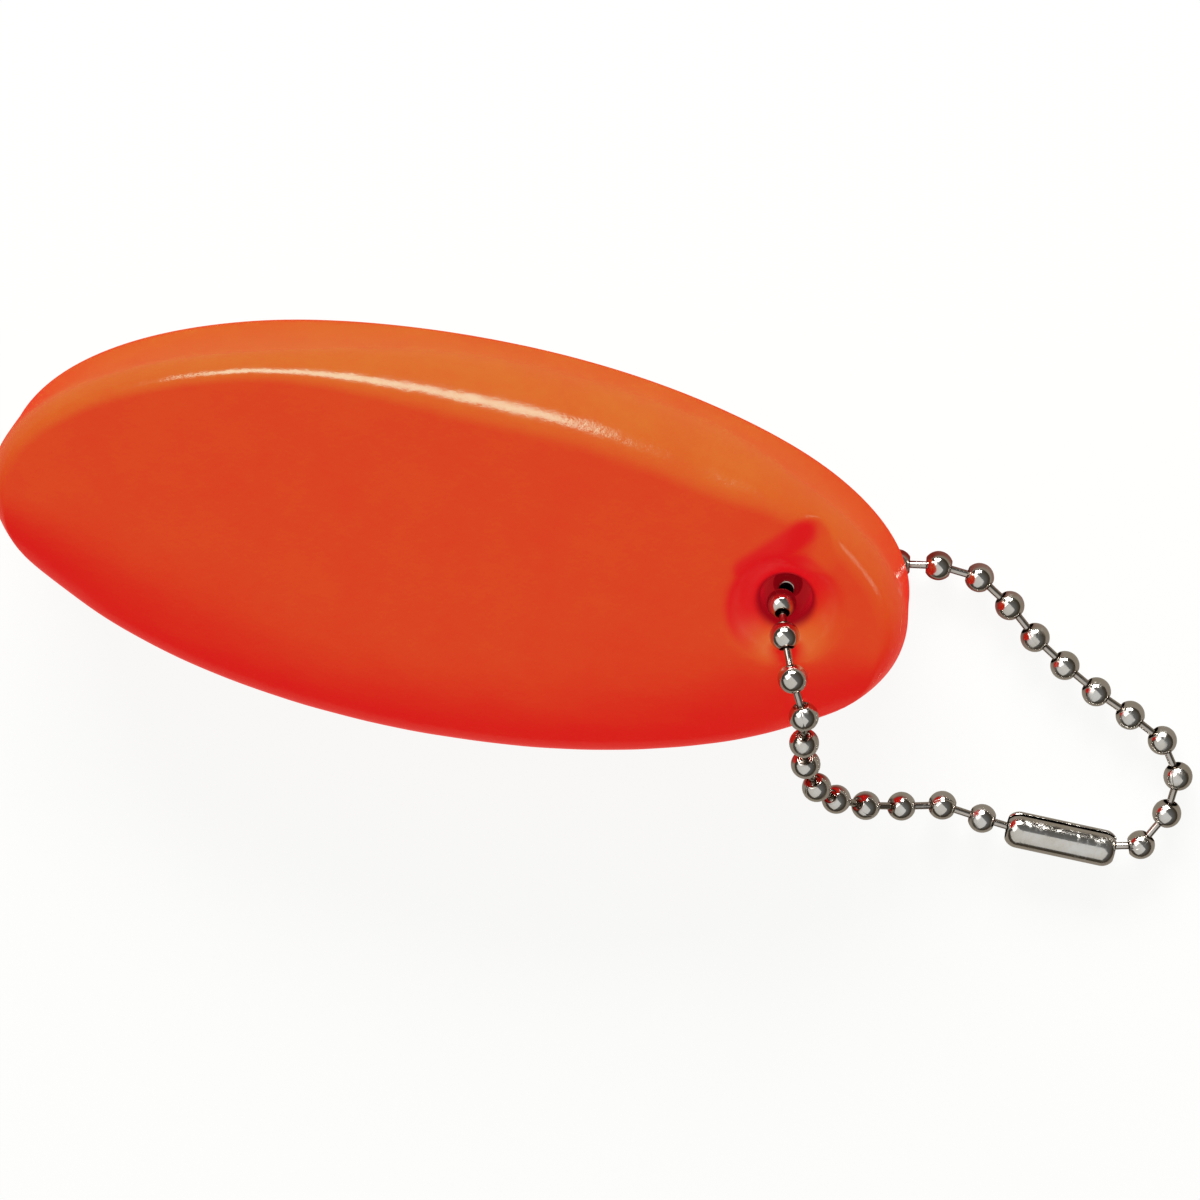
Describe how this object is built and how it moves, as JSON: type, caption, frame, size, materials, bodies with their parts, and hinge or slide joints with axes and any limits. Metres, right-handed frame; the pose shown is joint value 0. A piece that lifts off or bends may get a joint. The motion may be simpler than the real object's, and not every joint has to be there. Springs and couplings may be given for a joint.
{
  "type": "floating keychain",
  "caption": "Oval foam float with a ball-chain loop through a dished hole near one end, closed by a turning sleeve, to keep keys afloat.",
  "frame": {"origin": "middle of the float's flat underside", "axes": "+X along the float towards the end with the hole, +Z out of the float's upper face"},
  "size_m": [0.0985, 0.036, 0.0164],
  "materials": {
    "vinyl": "glossy fluorescent orange-red vinyl skin on soft foam",
    "nickel": "bright nickel plate on steel"
  },
  "bodies": {
    "keychain": {"float": "vinyl", "chain_link_01": "nickel", "chain_link_02": "nickel", "chain_link_03": "nickel", "chain_link_04": "nickel", "chain_link_05": "nickel", "chain_link_06": "nickel", "chain_link_07": "nickel", "chain_link_08": "nickel", "chain_link_09": "nickel", "chain_link_10": "nickel", "chain_link_11": "nickel", "chain_link_12": "nickel", "chain_link_13": "nickel", "chain_link_14": "nickel", "chain_link_15": "nickel", "chain_link_16": "nickel", "chain_link_17": "nickel", "chain_link_18": "nickel", "chain_link_19": "nickel", "chain_link_20": "nickel", "chain_link_21": "nickel", "chain_link_22": "nickel", "chain_link_23": "nickel", "chain_link_24": "nickel", "chain_link_25": "nickel", "chain_link_26": "nickel", "chain_link_27": "nickel", "chain_link_28": "nickel", "chain_link_29": "nickel", "chain_end_bead": "nickel"},
    "connector": {"connector": "nickel"}
  },
  "joints": [
    {"name": "connector_spin", "type": "hinge", "parent": "keychain", "child": "connector", "pos_m": [0.0526, -0.0186, 0.0015], "axis": [0.9994, -0.0349, 0], "continuous": true}
  ]
}
